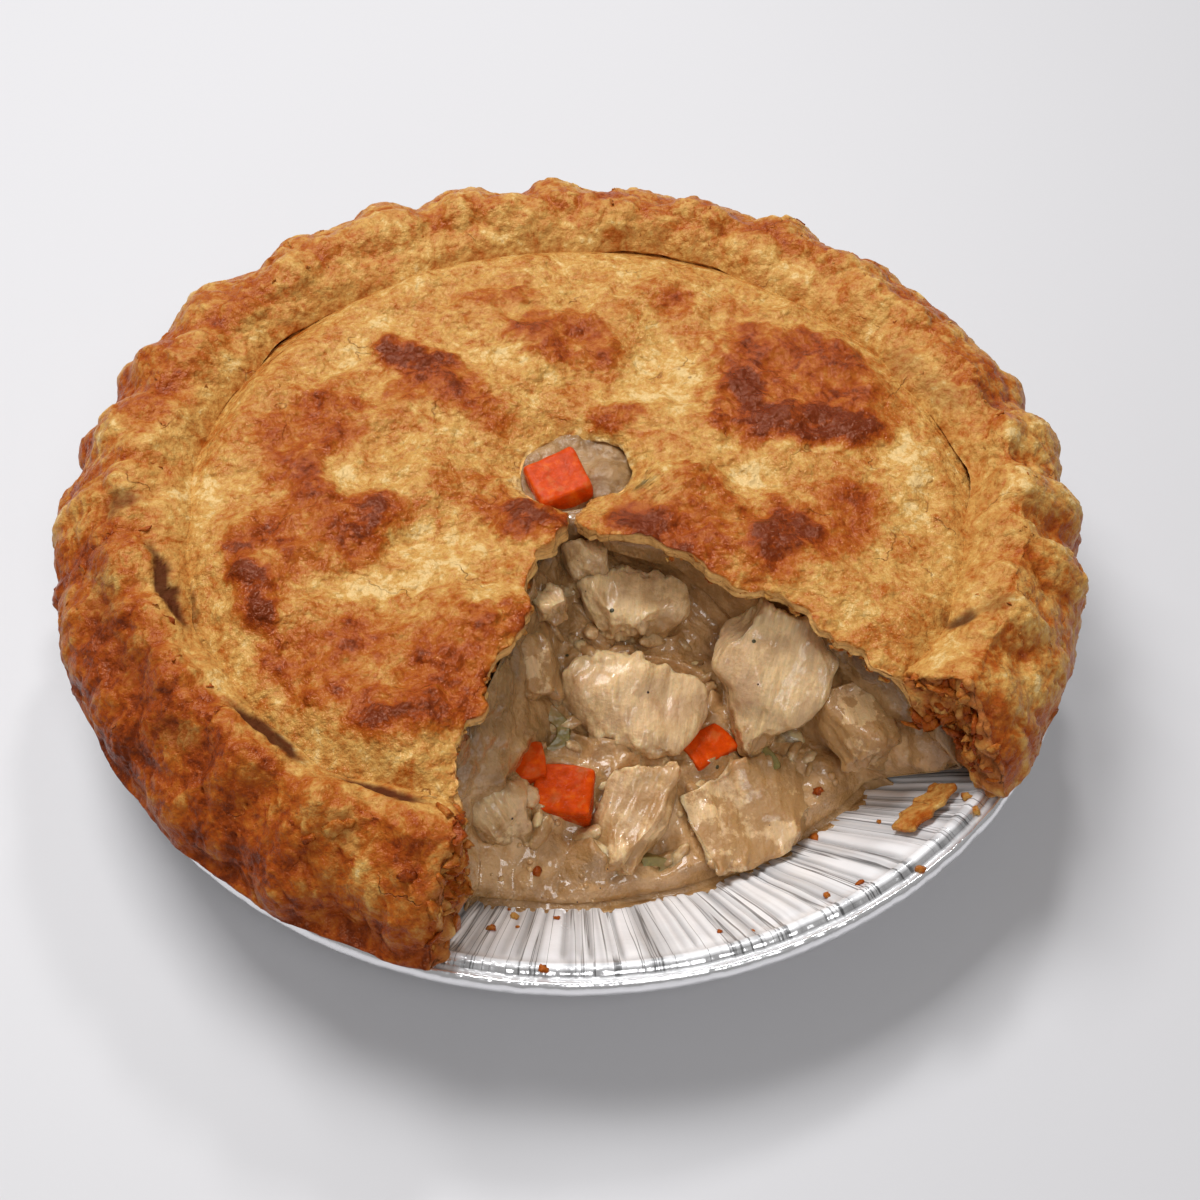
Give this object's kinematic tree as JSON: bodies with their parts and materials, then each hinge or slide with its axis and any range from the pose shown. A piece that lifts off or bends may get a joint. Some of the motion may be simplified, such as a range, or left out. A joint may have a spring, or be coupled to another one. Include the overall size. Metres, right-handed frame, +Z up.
{
  "type": "turkey pot pie in a foil tin",
  "caption": "Baked turkey pot pie in its fluted foil tin, with a crimped golden crust, a vent in the lid and one wedge taken out to show gravy, turkey, carrot and celery.",
  "frame": {"origin": "middle of the tin's flat base, on the surface that the pie stands on", "axes": "+Z up; the wedge that was taken out opens towards -Y and a little towards +X"},
  "size_m": [0.2336, 0.2329, 0.0529],
  "materials": {
    "foil": "bright rolled foil with pleats",
    "crust": "baked pastry, cream to golden brown",
    "gravy": "thick wet gravy",
    "turkey": "moist cooked meat",
    "carrot": "wet cooked carrot",
    "celery": "wet cooked celery"
  },
  "bodies": {
    "root": {"tin": "foil", "crust": "crust", "flake": "crust", "filling": "gravy", "turkey_1": "turkey", "turkey_2": "turkey", "turkey_3": "turkey", "turkey_4": "turkey", "turkey_5": "turkey", "turkey_6": "turkey", "turkey_7": "turkey", "turkey_8": "turkey", "turkey_9": "turkey", "turkey_10": "turkey", "carrot_1": "carrot", "carrot_2": "carrot", "carrot_3": "carrot", "carrot_4": "carrot", "celery_1": "celery", "celery_2": "celery", "celery_3": "celery"}
  },
  "joints": []
}
